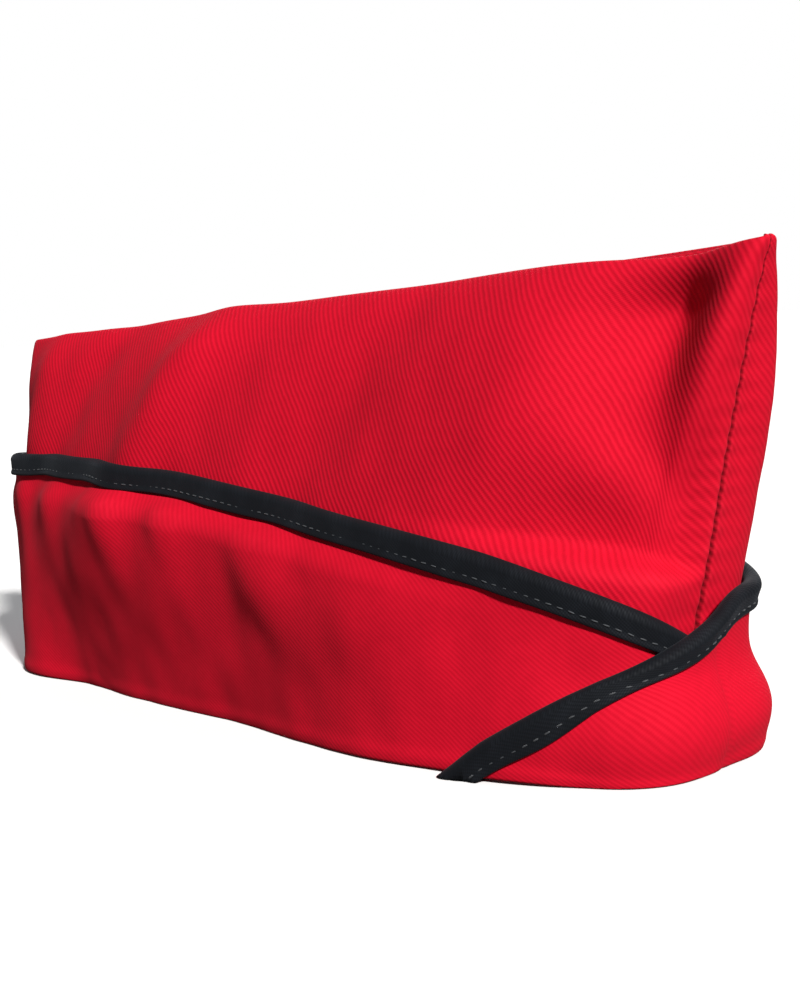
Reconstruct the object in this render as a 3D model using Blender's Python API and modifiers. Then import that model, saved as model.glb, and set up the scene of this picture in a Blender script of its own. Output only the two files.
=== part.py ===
"""A garrison cap of red twill with black piping, standing on its rim, partly open.

Units are metres and +Z is up. +X points to the wearer's face, +Y to the wearer's left.
The origin is on the surface that the cap stands on, midway along and across the cap.

A place on the cap's wall is given by two numbers. "turn" runs round the cap: 0 is the front
seam, -1 and +1 are the back seam, and the wearer's right side is negative. "rise" goes up the
wall: 0 is the rim and 1 the ridge. Each layer of cloth is this one wall, moved out or in.
"""

import math
from collections import namedtuple

import bmesh
import bpy
import numpy as np

# The cap's outline
RIDGE_LENGTH = 0.285  # along the top, from the front corner to the back corner
FRONT_HEIGHT = 0.120
BACK_HEIGHT = 0.1045
RIM_HALF_WIDTH = 0.044  # the rim is spread open by this much on each side
RIDGE_HALF_WIDTH = 0.007
FRONT_LEAN = 0.024  # how far the front seam falls back below the ridge
BACK_LEAN = 0.0090
SIDE_POWER = 0.40  # 1 is a flat wedge, and less is a fuller side
PLAN_LENGTH_POWER = 2.0  # 2 and 2 is an ellipse, and more is blunter at the ends
PLAN_WIDTH_POWER = 3.9

# Cloth
CLOTH = 0.0012
CURTAIN = 0.0015  # doubled over
TAPE = 0.0010
GAP = 0.0003  # between neighbouring pieces
PIPING_GAP = 0.0004  # between a curtain and the piping folded over it
SEAM_GAP = 0.0005
PIPING_WIDTH = 0.0068
CURTAIN_RISE = 0.069  # the curtain's height at the back
GUSSET_DEPTH = 0.026
GUSSET_END = 0.055  # the gusset stops this share of the ridge short of each corner
TRIM = 0.003  # cloth is made this much too long at the rim, and cut flat

# What follows from them
RIM_STANDOFF = GAP + 0.0001
EDGE_STANDOFF = TAPE + PIPING_GAP + GAP
PIPING_THICKNESS = CURTAIN + 2 * (TAPE + PIPING_GAP)
FOLD_DEPTH = PIPING_THICKNESS / 2  # the tape's fold is half round
LAP_STANDOFF = PIPING_THICKNESS + GAP
LAP_TIP_STANDOFF = CURTAIN + TAPE + PIPING_GAP + 2 * GAP
RIDGE_LAP = 1.6 * CLOTH + 2 * GAP

# Grids. All layers share one set of columns, so that their faces lie parallel.
SIDE_COLUMNS = 44  # from the front seam to the back seam
CROWN_ROWS = 13
CURTAIN_ROWS = 7
GUSSET_GRID = (30, 6)
TAPE_FOLD_ROWS = 3

# The front seam from the rim to the ridge. back is a share of FRONT_LEAN.
FrontRow = namedtuple("FrontRow", "rise back")
FRONT_SEAM = (
    FrontRow(-0.05, 0.83),
    FrontRow(0.12, 0.92),
    FrontRow(0.26, 0.93),
    FrontRow(0.38, 0.82),
    FrontRow(0.50, 0.70),
    FrontRow(0.65, 0.53),
    FrontRow(0.80, 0.34),
    FrontRow(0.92, 0.18),
    FrontRow(1.00, 0.05),
)

# Each curtain's upper edge: its height is a share of CURTAIN_RISE. The left one laps over the
# right one at the front and runs down to the rim.
EdgeRow = namedtuple("EdgeRow", "turn height")
RIGHT_EDGE = (
    EdgeRow(0.02, 0.45),
    EdgeRow(0.08, 0.57),
    EdgeRow(0.20, 0.72),
    EdgeRow(0.40, 0.86),
    EdgeRow(0.60, 0.965),
    EdgeRow(0.80, 0.99),
    EdgeRow(1.00, 0.97),
)
LEFT_EDGE = (
    EdgeRow(-0.250, -0.06),
    EdgeRow(-0.180, 0.15),
    EdgeRow(-0.100, 0.335),
    EdgeRow(-0.046, 0.48),
    EdgeRow(0.00, 0.58),
    EdgeRow(0.08, 0.67),
    EdgeRow(0.20, 0.77),
    EdgeRow(0.40, 0.87),
    EdgeRow(0.60, 0.965),
    EdgeRow(0.80, 0.99),
    EdgeRow(1.00, 0.97),
)
# The lap: where it starts, where it is at its full thickness, where that ends, where it is over
LAP_TURNS = (-0.19, -0.10, -0.02, 0.05)
LAP_PRESS = 0.004  # it presses the crown in by this much
LAP_PRESS_RISE = 0.50

# Low down at the front the curtains swell forward
SWELL = 0.0040
SWELL_HEIGHT = 0.0115
SWELL_HALF_HEIGHT = 0.0090
SWELL_TURNS = (0.05, 0.20)  # it fades out between these

# Folds and dents of the cloth. along is a share of the half rim, up a share of the height, and
# the two half sizes are shares of the ridge length. tilt leans the fold from upright, in
# degrees, towards the back as it goes down. depth is a share of the rim's half width, and
# negative is a dent.
Fold = namedtuple("Fold", "along up tilt half_length half_width depth")
CROWN_FOLDS = {
    "right": (
        Fold(0.150, 0.88, 4, 0.110, 0.040, -0.105),
        Fold(0.105, 0.47, 55, 0.070, 0.028, -0.045),
        Fold(0.300, 0.70, 25, 0.200, 0.075, 0.050),
        Fold(0.430, 0.78, 24, 0.180, 0.055, -0.040),
        Fold(0.580, 0.80, 20, 0.170, 0.050, 0.045),
        Fold(0.715, 0.78, 14, 0.160, 0.045, -0.050),
        Fold(0.830, 0.76, 10, 0.160, 0.040, 0.040),
        Fold(0.925, 0.74, 8, 0.150, 0.032, -0.035),
    ),
    "left": (
        Fold(0.180, 0.84, 8, 0.120, 0.050, -0.070),
        Fold(0.360, 0.72, 22, 0.190, 0.070, 0.045),
        Fold(0.540, 0.76, 20, 0.170, 0.055, -0.045),
        Fold(0.700, 0.78, 16, 0.160, 0.050, 0.040),
        Fold(0.850, 0.76, 12, 0.150, 0.042, -0.040),
    ),
}
# On the curtain up is a share of CURTAIN_RISE, and every fold stands out from the crown.
CURTAIN_FOLDS = {
    "right": (
        Fold(0.330, 0.48, -35, 0.150, 0.070, 0.050),
        Fold(0.560, 0.50, -30, 0.120, 0.050, 0.055),
        Fold(0.690, 0.60, -24, 0.110, 0.026, 0.060),
        Fold(0.780, 0.66, -14, 0.080, 0.018, 0.048),
        Fold(0.850, 0.68, -8, 0.070, 0.016, 0.044),
        Fold(0.915, 0.66, -4, 0.070, 0.016, 0.040),
    ),
    "left": (
        Fold(0.350, 0.50, -30, 0.150, 0.070, 0.045),
        Fold(0.580, 0.52, -25, 0.120, 0.050, 0.050),
        Fold(0.720, 0.62, -20, 0.100, 0.026, 0.052),
        Fold(0.830, 0.66, -10, 0.080, 0.020, 0.044),
    ),
}

RED = (0.60, 0.008, 0.030, 1.0)
BLACK = (0.012, 0.013, 0.017, 1.0)
Finish = namedtuple("Finish", "name colour roughness")
TWILL = Finish("red_twill", RED, 0.85)
PIPING = Finish("black_piping", BLACK, 0.75)

ARC_SAMPLES = 4000
SLOPE_STEP = 1e-4


def smooth(share):
    """0 to 1 with no kink at either end."""
    share = np.clip(share, 0.0, 1.0)
    return share * share * (3.0 - 2.0 * share)


def mix(low, high, share):
    return low + (high - low) * share


def through(rows, at):
    """A smooth curve through the rows of a table, in their first column's order."""
    xs, ys = np.array(rows, float).T
    slopes = np.gradient(ys, xs)
    at = np.clip(at, xs[0], xs[-1])
    i = np.clip(np.searchsorted(xs, at, side="right") - 1, 0, len(xs) - 2)
    span = xs[i + 1] - xs[i]
    t = (at - xs[i]) / span
    start = (1 + 2 * t) * (1 - t) ** 2 * ys[i] + t * (1 - t) ** 2 * span * slopes[i]
    end = t**2 * (3 - 2 * t) * ys[i + 1] + t**2 * (t - 1) * span * slopes[i + 1]
    return start + end


def plan(angle):
    """The rounded oval that every level section of the wall follows, 1 by 1."""
    along = np.sign(np.cos(angle)) * np.abs(np.cos(angle)) ** (2 / PLAN_LENGTH_POWER)
    across = np.abs(np.sin(angle)) ** (2 / PLAN_WIDTH_POWER)
    return along, across


def ends(rise):
    """The X of the front seam and of the back seam at a height."""
    down = np.clip(1.0 - rise, 0.0, None)
    front = RIDGE_LENGTH / 2 - FRONT_LEAN * through(FRONT_SEAM, rise)
    back = -RIDGE_LENGTH / 2 + BACK_LEAN * down
    return front, back


def half_width(rise):
    down = np.clip(1.0 - rise, 0.0, None) ** SIDE_POWER
    return mix(RIDGE_HALF_WIDTH, RIM_HALF_WIDTH, down)


def rim_arc():
    """The angle round the plan for equal steps along half of the rim, and that half's length."""
    angle = np.linspace(0.0, math.pi, ARC_SAMPLES)
    front, back = ends(np.zeros(1))
    along, across = plan(angle)
    step = np.hypot(
        np.diff(along) * (front - back) / 2, np.diff(across) * RIM_HALF_WIDTH
    )
    length = np.concatenate([[0.0], np.cumsum(step)])
    return length / length[-1], angle, length[-1]


ARC_SHARES, ARC_ANGLES, HALF_RIM = rim_arc()


def bare_wall(turn, rise):
    """Points of the crown's outer face, before any fold."""
    turn, rise = np.broadcast_arrays(turn, rise)
    angle = np.interp(np.abs(turn), ARC_SHARES, ARC_ANGLES)
    along, across = plan(angle)
    front, back = ends(rise)
    x = (front + back) / 2 + along * (front - back) / 2
    y = np.sign(turn) * across * half_width(rise)
    z = rise * mix(FRONT_HEIGHT, BACK_HEIGHT, (1.0 - along) / 2)
    return np.stack([x, y, z], -1)


def fold_depth(folds, turn, height, top):
    """How far the folds move the cloth out. height is in metres and top is its full measure."""
    total = np.zeros(np.broadcast(turn, height).shape)
    for fold in folds:
        ahead = (fold.along - np.abs(turn)) * HALF_RIM
        above = height - fold.up * top
        lean = math.radians(fold.tilt)
        across = ahead * math.cos(lean) - above * math.sin(lean)
        down = ahead * math.sin(lean) + above * math.cos(lean)
        wide = (across / (fold.half_width * RIDGE_LENGTH)) ** 2
        long = (down / (fold.half_length * RIDGE_LENGTH)) ** 2
        total = total + fold.depth * RIM_HALF_WIDTH * np.exp(-wide - long)
    return total


def lap_share(turn):
    """How much of the lap's full thickness there is at a place round the cap."""
    tip, full, seam, over = LAP_TURNS
    return smooth((turn - tip) / (full - tip)) * (1.0 - smooth((turn - seam) / (over - seam)))


def crown_swell(turn, height, rise):
    """How far the crown's folds, and the lap that presses on it, move it out."""
    right = fold_depth(CROWN_FOLDS["right"], turn, height, FRONT_HEIGHT)
    left = fold_depth(CROWN_FOLDS["left"], turn, height, FRONT_HEIGHT)
    free = smooth(np.abs(turn) / 0.06) * smooth((1.0 - np.abs(turn)) / 0.05)
    upright = smooth(rise / 0.35) * (1.0 - smooth((rise - 0.90) / 0.10))
    press = LAP_PRESS * lap_share(turn) * (1.0 - smooth(rise / LAP_PRESS_RISE))
    return np.where(turn < 0, right, left) * free * upright - press


def curtain_swell(side, turn, height):
    """How far a curtain's folds, and its swollen front, move it further out."""
    near, far = SWELL_TURNS
    fade = 1.0 - smooth((np.abs(turn) - near) / (far - near))
    front = SWELL * fade * np.exp(-(((height - SWELL_HEIGHT) / SWELL_HALF_HEIGHT) ** 2))
    folds = fold_depth(CURTAIN_FOLDS[side], turn, height, CURTAIN_RISE)
    folds = folds * smooth((1.0 - np.abs(turn)) / 0.05) * smooth(np.abs(turn) / 0.2)
    below_piping = edge_height(side, turn) - PIPING_WIDTH * edge_slant(side, turn) - height
    folds = folds * smooth(height / (0.25 * CURTAIN_RISE)) * smooth(below_piping / PIPING_WIDTH)
    return front + np.clip(folds, 0.0, None)


def folded(turn, rise, layer):
    """The wall with the folds of its layer: the crown, or the right or left curtain."""
    flat = bare_wall(turn, rise)
    swell = crown_swell(turn, flat[..., 2], rise)
    if layer != "crown":
        swell = swell + curtain_swell(layer, turn, flat[..., 2])
    return flat + square_to(bare_wall, turn, rise) * swell[..., None]


def square_to(face, turn, rise):
    """Unit vectors square to a face, pointing out. face takes turn and rise."""
    reach = 2 * SLOPE_STEP
    turn = np.where(turn < 0, np.clip(turn, reach - 1, -reach), np.clip(turn, reach, 1 - reach))
    rise = np.minimum(rise, 1.0 - reach)
    round_step = face(turn + SLOPE_STEP, rise) - face(turn - SLOPE_STEP, rise)
    up_step = face(turn, rise + SLOPE_STEP) - face(turn, rise - SLOPE_STEP)
    square = np.cross(round_step, up_step)
    return square / np.linalg.norm(square, axis=-1, keepdims=True)


def wall(turn, rise, out, layer="crown"):
    """Points of a layer's folded wall, moved out by a distance."""
    turn, rise = np.broadcast_arrays(np.asarray(turn, float), np.asarray(rise, float))
    direction = square_to(lambda t, r: folded(t, r, layer), turn, rise)
    return folded(turn, rise, layer) + direction * np.asarray(out)[..., None]


def rise_of(turn, height):
    """The share of the wall's height at which a place on it is this high."""
    angle = np.interp(np.abs(turn), ARC_SHARES, ARC_ANGLES)
    along, _ = plan(angle)
    return height / mix(FRONT_HEIGHT, BACK_HEIGHT, (1.0 - along) / 2)


def edge_height(side, turn):
    """The height of a curtain's upper edge."""
    if side == "right":
        return CURTAIN_RISE * through(RIGHT_EDGE, np.abs(turn))
    return CURTAIN_RISE * through(LEFT_EDGE, turn)


def edge_slant(side, turn):
    """How much longer an upright cut through the edge is than one square to it."""
    ahead = edge_height(side, turn + SLOPE_STEP)
    behind = edge_height(side, turn - SLOPE_STEP)
    return np.hypot(1.0, (ahead - behind) / (2 * SLOPE_STEP * HALF_RIM))


def standoff(side, turn, height):
    """The gap between the crown's outer face and a curtain's inner face."""
    edge = np.maximum(edge_height(side, turn), TRIM)
    out = mix(RIM_STANDOFF, EDGE_STANDOFF, smooth(height / edge))
    if side == "left":
        before_seam = np.asarray(turn) < LAP_TURNS[2]
        thinnest = np.where(before_seam, LAP_TIP_STANDOFF, 0.0)
        out = out + mix(thinnest, LAP_STANDOFF, lap_share(turn))
    return out


def finish(look):
    """The material of a piece, made once."""
    made = bpy.data.materials.get(look.name)
    if made is None:
        made = bpy.data.materials.new(look.name)
        made.use_nodes = True
        shader = made.node_tree.nodes["Principled BSDF"]
        shader.inputs["Base Color"].default_value = look.colour
        shader.inputs["Roughness"].default_value = look.roughness
        shader.inputs["Metallic"].default_value = 0.0
        made.diffuse_color = look.colour
    return made


def collection(name):
    made = bpy.data.collections.new(name)
    bpy.context.scene.collection.children.link(made)
    return made


def cloth(name, grid, place, thickness, side, look, home):
    """A sheet of cloth: a grid whose points go where place() puts them, made thick.

    place takes two arrays of shares, along and up the grid. side is 1 where the thickness
    goes out from the placed face and -1 where it goes in.
    """
    bm = bmesh.new()
    bmesh.ops.create_grid(bm, x_segments=grid[0], y_segments=grid[1], size=0.5)
    shares = np.array([v.co[:2] for v in bm.verts]) + 0.5
    for vertex, point in zip(bm.verts, place(shares[:, 0], shares[:, 1])):
        vertex.co = point
    mesh = bpy.data.meshes.new(name)
    bm.to_mesh(mesh)
    bm.free()
    mesh.materials.append(finish(look))
    mesh.shade_smooth()
    piece = bpy.data.objects.new(name, mesh)
    home.objects.link(piece)
    thick = piece.modifiers.new("Cloth thickness", "SOLIDIFY")
    thick.thickness = thickness
    thick.offset = side
    return piece


def trim(piece, cutters):
    """Cuts a piece flat at the rim and at its seams."""
    for cutter in cutters:
        cut = piece.modifiers.new(cutter.name, "BOOLEAN")
        cut.operation = "DIFFERENCE"
        cut.object = cutter
    return piece


def make_crown(side, home, cutters):
    """One side of the crown, from the rim to the ridge."""
    start, end = (-1.0, 0.0) if side == "right" else (0.0, 1.0)

    def place(along, up):
        rise = mix(-TRIM / BACK_HEIGHT, 1.0, up)
        return wall(mix(start, end, along), rise, 0.0)

    piece = cloth("crown_" + side, (SIDE_COLUMNS, CROWN_ROWS), place, CLOTH, -1, TWILL, home)
    return trim(piece, (cutters["rim"], cutters[side]))


def plan_stations():
    """The plan's place along the cap, from back to front, and the turn found there."""
    along, _ = plan(ARC_ANGLES)
    return along[::-1], ARC_SHARES[::-1]


def make_gusset(home):
    """The folded strip that joins the two sides along the ridge and drops into the cap."""

    def place(along, across):
        station = mix(1.0 - GUSSET_END, GUSSET_END, along)
        turn = np.interp(1.0 - 2.0 * station, *plan_stations())
        edge = bare_wall(turn, np.ones_like(turn))
        reach = np.abs(edge[:, 1]) - RIDGE_LAP
        side = 2.0 * across - 1.0
        drop = GUSSET_DEPTH * (1.0 - (2.0 * station - 1.0) ** 4) * (1.0 - np.abs(side) ** 1.3)
        return np.stack([edge[:, 0], side * reach, edge[:, 2] - GAP - drop], -1)

    return cloth("crown_gusset", GUSSET_GRID, place, CLOTH, -1, TWILL, home)


def curtain_span(side):
    """Where a curtain starts and ends round the cap, and its number of columns."""
    start, end = (-1.0, -1 / SIDE_COLUMNS) if side == "right" else (LEFT_EDGE[0].turn, 1.0)
    return start, end, round((end - start) * SIDE_COLUMNS)


def curtain_cutters(side, cutters):
    """The left curtain runs on past the front seam, so it is cut at the back one alone."""
    return cutters["rim"], cutters["right" if side == "right" else "left_back"]


def make_curtain(side, home, cutters):
    """The turned-up band of one side, twill doubled over, with its upper edge in the piping.

    Its last row lies inside the piping, and the one before runs along the piping's foot.
    """
    start, end, columns = curtain_span(side)

    def place(along, up):
        turn = mix(start, end, along)
        edge = edge_height(side, turn)
        slant = edge_slant(side, turn)
        foot = edge - PIPING_WIDTH * slant
        bottom = np.minimum(-2 * TRIM, foot - TRIM)
        below = mix(bottom, foot, up * CURTAIN_ROWS / (CURTAIN_ROWS - 1))
        height = np.where(up > 1 - 0.5 / CURTAIN_ROWS, edge - FOLD_DEPTH * slant, below)
        out = standoff(side, turn, height)
        return wall(turn, rise_of(turn, height), out, side)

    piece = cloth("curtain_" + side, (columns, CURTAIN_ROWS), place, CURTAIN, 1, TWILL, home)
    return trim(piece, curtain_cutters(side, cutters))


def tape_section():
    """The tape's outer face, from the outer leg's foot over the edge to the inner leg's foot.

    Two columns: across, from 0 at the inner leg to 1 at the outer one, and the share of the
    piping's width below the edge.
    """
    fold = FOLD_DEPTH / PIPING_WIDTH
    arc = np.linspace(0.0, math.pi, TAPE_FOLD_ROWS + 1)
    across = 0.5 + 0.5 * np.cos(arc)
    below = fold * (1.0 - np.sin(arc))
    return np.concatenate([[1.0], across, [0.0]]), np.concatenate([[1.0], below, [1.0]])


def make_piping(side, home, cutters):
    """The black tape folded over a curtain's upper edge."""
    start, end, columns = curtain_span(side)
    across, below = tape_section()
    shares = np.linspace(0.0, 1.0, len(across))

    def place(along, round_edge):
        turn = mix(start, end, along)
        edge = edge_height(side, turn)
        drop = np.interp(round_edge, shares, below) * PIPING_WIDTH * edge_slant(side, turn)
        height = edge - drop
        inner = standoff(side, turn, height) - TAPE - PIPING_GAP
        out = inner + np.interp(round_edge, shares, across) * PIPING_THICKNESS
        return wall(turn, rise_of(turn, height), out, side)

    grid = (columns, len(across) - 1)
    piece = cloth("piping_" + side, grid, place, TAPE, -1, PIPING, home)
    return trim(piece, curtain_cutters(side, cutters))


def make_cutter(name, centre, home):
    """A block twice as long as the ridge each way."""
    bm = bmesh.new()
    bmesh.ops.create_cube(bm, size=2 * RIDGE_LENGTH)
    bmesh.ops.translate(bm, verts=bm.verts, vec=centre)
    mesh = bpy.data.meshes.new(name)
    bm.to_mesh(mesh)
    bm.free()
    block = bpy.data.objects.new(name, mesh)
    home.objects.link(block)
    block.hide_render = True
    block.display_type = "WIRE"
    return block


def make_cutters(home):
    """Blocks below the rim, and on the far side of the seams for each side of the cap."""
    past = RIDGE_LENGTH - SEAM_GAP / 2
    return {
        "rim": make_cutter("below_rim", (0.0, 0.0, -RIDGE_LENGTH), home),
        "right": make_cutter("past_seam_of_right", (0.0, past, 0.0), home),
        "left": make_cutter("past_seam_of_left", (0.0, -past, 0.0), home),
        "left_back": make_cutter("past_back_seam_of_left", (-RIDGE_LENGTH, -past, 0.0), home),
    }


def main():
    for old in list(bpy.data.objects):
        bpy.data.objects.remove(old)
    home = collection("garrison_cap")
    cutters = make_cutters(collection("cutters"))
    for side in ("right", "left"):
        make_crown(side, home, cutters)
        make_curtain(side, home, cutters)
        make_piping(side, home, cutters)
    make_gusset(home)


main()
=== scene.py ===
"""The looks of a garrison cap: red twill, black piping, thread and light around the CAD frame.

Metres, +Z up, +X to the wearer's face and +Y to the wearer's left, as in the CAD. A place on
the cap's wall is given by "turn" (0 is the front seam, -1 and +1 the back seam, the wearer's
right side is negative) and "rise" (0 is the rim, 1 the ridge).
"""

import math
from collections import namedtuple

import bmesh
import bpy
import numpy as np
from mathutils import Matrix, Vector


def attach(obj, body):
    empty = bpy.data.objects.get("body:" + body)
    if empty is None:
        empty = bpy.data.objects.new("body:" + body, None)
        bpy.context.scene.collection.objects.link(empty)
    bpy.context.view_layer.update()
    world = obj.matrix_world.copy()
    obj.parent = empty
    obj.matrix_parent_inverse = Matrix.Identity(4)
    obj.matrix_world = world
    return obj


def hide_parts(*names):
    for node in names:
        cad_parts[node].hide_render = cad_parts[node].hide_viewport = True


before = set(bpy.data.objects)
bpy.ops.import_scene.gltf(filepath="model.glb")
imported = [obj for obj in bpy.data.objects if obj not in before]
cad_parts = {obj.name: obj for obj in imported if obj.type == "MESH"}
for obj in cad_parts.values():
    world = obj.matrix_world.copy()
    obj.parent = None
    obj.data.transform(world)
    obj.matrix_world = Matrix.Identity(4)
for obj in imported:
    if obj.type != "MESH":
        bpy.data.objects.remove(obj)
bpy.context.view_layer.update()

# The cap's outline, as in the CAD
RIDGE_LENGTH = 0.285
FRONT_HEIGHT = 0.120
BACK_HEIGHT = 0.1045
RIM_HALF_WIDTH = 0.044
RIDGE_HALF_WIDTH = 0.007
FRONT_LEAN = 0.024
BACK_LEAN = 0.0090
SIDE_POWER = 0.25  # the lower, the faster the side spreads below the ridge
SIDE_ROUND = 0.03  # the share of the height over which the side rounds into the ridge
PLAN_LENGTH_POWER = 2.0  # of the oval that the rim follows; 2 makes an ellipse
PLAN_WIDTH_POWER = 3.9  # at the front
PLAN_BACK_POWER = 3.0
TUCK = 0.0105  # how far the rim draws in towards the back
TUCK_RISE = 0.52  # it has gone at this rise
TUCK_POWER = 1.5
TUCK_LIMIT = 1.2  # below the rim it grows to this share and no further
TUCK_TURNS = (0.28, 0.54, 0.76, 0.88)  # it starts, is full, starts to end, and ends
CURTAIN_RISE = 0.069

# Cloth
CLOTH = 0.0012
CURTAIN = 0.0015
TAPE = 0.0010
GAP = 0.0003
PIPING_GAP = 0.0004
PIPING_WIDTH = 0.0068
GUSSET_DEPTH = 0.026
GUSSET_END = 0.045  # the gusset stops this share of the ridge short of each corner
GUSSET_END_POWER = 4  # the higher, the more abruptly its fold shallows at both ends
GUSSET_FOLD_POWER = 1.3  # the higher, the rounder the fold's bottom
GUSSET_CLEAR = 0.0001  # between its edge and a side's rolled ridge
GUSSET_BELOW = 0.8  # its edge lies this share of a roll below the ridge
GUSSET_WAVER = 0.0006  # its fold strays sideways by this much
GUSSET_WAVER_RUN = 0.013  # over this length for each radian
RIM_STANDOFF = 0.0004  # between the crown and a curtain at the rim
EDGE_STANDOFF = TAPE + PIPING_GAP + GAP
PIPING_THICKNESS = CURTAIN + 2 * (TAPE + PIPING_GAP)
FOLD_DEPTH = PIPING_THICKNESS / 2
LAP_STANDOFF = PIPING_THICKNESS + GAP
LAP_TIP_STANDOFF = CURTAIN + TAPE + PIPING_GAP + 2 * GAP
SEAM_ROLL = 0.0017  # the radius at which the cloth turns in at a seam
SEAM_HALF_GAP = 0.00012
LEAST_GAP = 0.1  # a panel keeps at least this share of it on its own side of the seam
SEAM_SHADE = 0.0008  # the shade painted into a seam's crevice is this wide on each side
CORNER_REACH = 0.012  # a seam's roll is this long in tightening at a corner
CORNER_SHARP = 0.6  # the share of its depth that the roll loses there
CORNER_SINK = 0.5  # the share of the ridge's roll by which a corner sinks
CORNER_THIN = 3.0  # the higher, the further from a corner the cloth thins
RELIEF_FADE = 0.004  # small relief is full this far from a seam
MIDDLE_TURN = 0.30  # the cloth is measured from here
THINNEST = 0.2  # of the cloth's thickness, at a rounded edge

# Grids
STEP = 0.0012  # between the points of a cloth
GUSSET_POINTS = 41  # across the gusset
FOLD_POINTS = 17  # round the tape's fold
CLOTH_TURNS = 1201  # the cloth is measured at this many places round half of the cap
CLOTH_RISES = 111  # and this many up
LOWEST_RISE = -0.1
CUT_TOLERANCE = 1e-7
FINE_STEPS = (0.0, 0.04, 0.14, 0.32, 0.6, 1.0, 1.5, 2.1)  # in roll radii from an edge

# back is the share of FRONT_LEAN by which the front seam lies behind the ridge's end
FrontRow = namedtuple("FrontRow", "rise back")
FRONT_SEAM = (
    FrontRow(-0.05, 0.83),
    FrontRow(0.12, 0.92),
    FrontRow(0.26, 0.93),
    FrontRow(0.38, 0.82),
    FrontRow(0.50, 0.70),
    FrontRow(0.65, 0.53),
    FrontRow(0.80, 0.34),
    FrontRow(0.92, 0.18),
    FrontRow(1.00, 0.05),
)
# height is the share of CURTAIN_RISE that a curtain's upper edge is high
EdgeRow = namedtuple("EdgeRow", "turn height")
RIGHT_EDGE = (
    EdgeRow(0.02, 0.45),
    EdgeRow(0.08, 0.57),
    EdgeRow(0.20, 0.72),
    EdgeRow(0.40, 0.86),
    EdgeRow(0.60, 0.965),
    EdgeRow(0.80, 0.99),
    EdgeRow(1.00, 0.97),
)
LEFT_EDGE = (
    EdgeRow(-0.250, -0.06),
    EdgeRow(-0.180, 0.15),
    EdgeRow(-0.100, 0.335),
    EdgeRow(-0.046, 0.48),
    EdgeRow(0.00, 0.565),
    EdgeRow(0.08, 0.615),
    EdgeRow(0.20, 0.74),
    EdgeRow(0.40, 0.87),
    EdgeRow(0.60, 0.965),
    EdgeRow(0.80, 0.99),
    EdgeRow(1.00, 0.97),
)
RIGHT_CURTAIN_END = -1 / 44  # the turns at which the curtains end at the front
LEFT_CURTAIN_END = -0.203
LEAST_EDGE = 0.003  # a curtain's standoff is worked out as if it were at least this high
LEAST_CURTAIN = 0.0012  # where its edge runs down to the rim
LAP_TURNS = (-0.19, -0.10, -0.02, 0.05)  # its tip, full thickness, the seam, and its end
LAP_PRESS = 0.004  # how far the lap presses the crown in at the rim
LAP_PRESS_RISE = 0.50  # the press has gone at this rise

# The curtain's swollen front
SWELL = 0.0048
SWELL_HEIGHT = 0.0105
SWELL_HALF_HEIGHT = 0.0090
SWELL_TURNS = (0.05, 0.20)  # it is full up to the first and has gone at the second

# What holds the folds: each is the share of the half rim, or of the height, over which they fade
HOLD_FRONT = 0.03
HOLD_BACK = 0.05
HOLD_RIM = 0.35
HOLD_RIDGE_RISE = 0.88  # from here up the ridge holds the crown's folds
HOLD_RIDGE = 0.50  # the share of their depth that they lose at the ridge
CURTAIN_HOLD_FRONT = 0.2
CURTAIN_HOLD_RIM = 0.55
FOLD_LIFT = 0.3  # the share of a fold's slant that moves it up or down

# Folds: along is a share of the half rim, up of the height (of CURTAIN_RISE on a curtain). tilt
# leans the fold back as it goes down. long, back and front are its half sizes as shares of the
# ridge length, along it and towards the back and the front. depth is a share of the rim's half
# width, and negative is a dent.
Fold = namedtuple("Fold", "along up tilt long back front depth")
CROWN_FOLDS = {
    "right": (
        Fold(0.128, 0.87, -14, 0.088, 0.068, 0.045, -0.340),
        Fold(0.105, 0.430, 98, 0.120, 0.060, 0.012, -0.195),
        Fold(0.080, 0.600, 119, 0.085, 0.045, 0.030, -0.105),
        Fold(0.225, 0.66, 20, 0.230, 0.070, 0.050, 0.050),
        Fold(0.410, 0.66, 24, 0.180, 0.060, 0.050, -0.060),
        Fold(0.620, 0.76, 27, 0.170, 0.038, 0.042, 0.130),
        Fold(0.775, 0.74, 30, 0.130, 0.030, 0.032, -0.060),
        Fold(0.865, 0.80, 12, 0.150, 0.028, 0.032, 0.045),
    ),
    "left": (
        Fold(0.060, 0.66, 0, 0.110, 0.045, 0.030, 0.075),
        Fold(0.180, 0.70, 8, 0.090, 0.050, 0.050, -0.050),
        Fold(0.360, 0.72, 22, 0.190, 0.070, 0.070, 0.045),
        Fold(0.540, 0.76, 20, 0.170, 0.055, 0.055, -0.045),
        Fold(0.700, 0.78, 16, 0.160, 0.050, 0.050, 0.040),
        Fold(0.850, 0.76, 12, 0.150, 0.042, 0.042, -0.040),
    ),
}
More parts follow.
